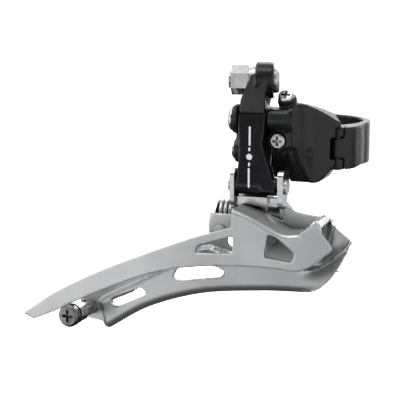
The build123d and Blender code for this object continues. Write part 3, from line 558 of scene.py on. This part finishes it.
# along the strap's outside, between its hinge and its band
fairing_corners = ((18.0, -13.2), (18.94, -13.2), (19.45, -8.3), (19.53, -3.8), (18.6, -3.8))
fairing_half_height = 6.4
fairing_web = [(x, y, side * fairing_half_height) for x, y in fairing_corners for side in (-1, 1)]
softened("forged_outer_link", "outer_link", "outer_link", voxel_mm=0.3, passes=5,
         webs=[arm_web, foot_web])
softened("forged_body", "main_body", "body", voxel_mm=0.33, passes=5,
         webs=[shoulder_web, pocket_web])
softened("forged_strap", "clamp_strap", "strap", voxel_mm=0.33, passes=4, webs=[fairing_web])

# ---- printed mark on the outer link's face ------------------------------------------------

face_normal = Vector((0, -face_out, face_rise))
face_up = Vector((0, face_rise, face_out))
face_foot = face_normal * face_distance
ink_proud, ink_deep = 0.03, -0.1
mark_lean = -0.08
mark_strokes = (  # centre X, height up the face, width, length
    (-9.0, -4.2, 0.6, 6.0), (-8.75, -8.3, 0.6, 1.2), (-8.6, -10.6, 1.9, 1.9),
    (-8.45, -12.9, 0.6, 1.2), (-8.2, -17.0, 0.6, 6.0))


def printed(name, centre_x, centre_up, width, height, steps=10):
    """A thin upright stroke with round ends on the link's face, with the mark's lean."""
    outline = []
    for side in (1, -1):
        for turn in np.linspace(0, np.pi, steps):
            up = centre_up + side * (height / 2 - width / 2 + width / 2 * sin(turn))
            along = centre_x + side * width / 2 * cos(turn) + mark_lean * (up - centre_up)
            outline.append((along, up))
    corners = [face_foot + face_up * up + Vector((x, 0, 0)) for x, up in outline]
    count = len(corners)
    verts = [c + face_normal * depth for depth in (ink_proud, ink_deep) for c in corners]
    faces = [range(count), range(2 * count - 1, count - 1, -1)]
    faces += [(i, (i + 1) % count, (i + 1) % count + count, i + count) for i in range(count)]
    mesh = bpy.data.meshes.new(name)
    mesh.from_pydata([v * mm for v in verts], [], [list(f) for f in faces])
    stroke = bpy.data.objects.new(name, mesh)
    bpy.context.scene.collection.objects.link(stroke)
    stroke.data.materials.append(finishes["white_ink"])
    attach(stroke, "outer_link")


for number, (x, up, width, height) in enumerate(mark_strokes):
    printed("mark_%d" % number, x, up, width, height)

# ---- stage, lights and camera -------------------------------------------------------------

middle = Vector((-32.3, -15.4, -19.6)) * mm
view_azimuth, view_elevation = 20, 10
light_distance, camera_distance = 0.8, 0.42
floor_size, floor_height = 600, -0.16


def outward(azimuth, elevation):
    """Unit vector from the object's middle, at degrees round from -Y and up."""
    a, e = radians(azimuth), radians(elevation)
    return Vector((sin(a) * cos(e), -cos(a) * cos(e), sin(e)))


def placed(name, data, away, distance):
    """Puts a light or camera at a distance from the object's middle, facing it."""
    holder = bpy.data.objects.new(name, data)
    holder.location = middle + away * distance
    holder.rotation_mode = "QUATERNION"
    holder.rotation_quaternion = away.to_track_quat("Z", "Y")
    bpy.context.scene.collection.objects.link(holder)
    return holder


def softbox(name, azimuth, elevation, width, height, power):
    """Rectangular light that faces the object."""
    light = bpy.data.lights.new(name, "AREA")
    light.shape = "RECTANGLE"
    light.size, light.size_y, light.energy = width, height, power
    placed(name, light, outward(azimuth, elevation), light_distance)


softbox("key", -50, 62, width=0.7, height=0.7, power=4.2)
softbox("back", 165, 40, width=0.7, height=0.4, power=3.0)

# The studio round the object. Each lobe grows from nothing to its strength as a direction
# turns towards its own: (towards, cosine at its start, cosine at its end, strength).
lobes = (
    ((0, 0, 1), -0.4, 0.2, 0.2),  # the dim room, down to a little below the horizon
    ((-0.3, 1, 0.35), 0.55, 0.9, 1.5),  # paper behind
    ((-1, -0.5, 0.0), 0.72, 0.97, 1.6),  # window on the left
    ((-0.34, -0.93, -0.17), 0.9, 1.0, 0.8),  # card in front, which the cage plates mirror
    ((0.35, -0.93, -0.1), 0.75, 1.0, 0.6),  # card on the right, which the shield mirrors
    ((0.1, 0.1, 1), 0.3, 0.95, 0.45),  # ceiling
    ((1, -0.3, 0.0), 0.5, 0.95, 0.8),  # wall past the nose
)
horizon_middle, horizon_reach = -0.02, 0.04  # white, where the floor meets the world

world = bpy.data.worlds.new("studio")
world.use_nodes = True
sky = world.node_tree
direction = sky.nodes.new("ShaderNodeTexCoord").outputs["Generated"]
parts = sky.nodes.new("ShaderNodeSeparateXYZ")
sky.links.new(direction, parts.inputs[0])
horizon = sky.nodes.new("ShaderNodeMath")
horizon.operation = "COMPARE"
horizon.inputs[1].default_value = horizon_middle
horizon.inputs[2].default_value = horizon_reach
sky.links.new(parts.outputs["Z"], horizon.inputs[0])
total = horizon.outputs["Value"]
for towards, start, end, strength in lobes:
    dot = sky.nodes.new("ShaderNodeVectorMath")
    dot.operation = "DOT_PRODUCT"
    dot.inputs[1].default_value = Vector(towards).normalized()
    sky.links.new(direction, dot.inputs[0])
    grown = sky.nodes.new("ShaderNodeMapRange")
    grown.interpolation_type = "SMOOTHSTEP"
    for key, value in zip(("From Min", "From Max", "To Min", "To Max"), (start, end, 0, strength)):
        grown.inputs[key].default_value = value
    sky.links.new(dot.outputs["Value"], grown.inputs["Value"])
    added = sky.nodes.new("ShaderNodeMath")
    sky.links.new(total, added.inputs[0])
    sky.links.new(grown.outputs["Result"], added.inputs[1])
    total = added.outputs["Value"]
sky.links.new(total, sky.nodes["Background"].inputs["Strength"])
sky.nodes["Background"].inputs["Color"].default_value = (0.97, 0.985, 1.0, 1)
bpy.context.scene.world = world

bpy.ops.mesh.primitive_plane_add(size=floor_size, location=(0, 0, floor_height))
floor = bpy.context.object
floor.name = "floor"
paper = Shader("paper", grey(0.85), roughness=0.9, metallic=0.0)
paper.bsdf.inputs["Emission Color"].default_value = (1, 1, 1, 1)
paper.bsdf.inputs["Emission Strength"].default_value = 0.8
floor.data.materials.append(paper.material)
floor.visible_diffuse = False
floor.visible_glossy = False

camera = bpy.data.cameras.new("camera")
camera.lens = 115.3
camera.sensor_width = 36
camera.clip_start = 0.01
camera.clip_end = 1000
eye = placed("camera", camera, outward(view_azimuth, view_elevation), camera_distance)
bpy.context.scene.camera = eye
bpy.context.scene.view_settings.view_transform = "Standard"
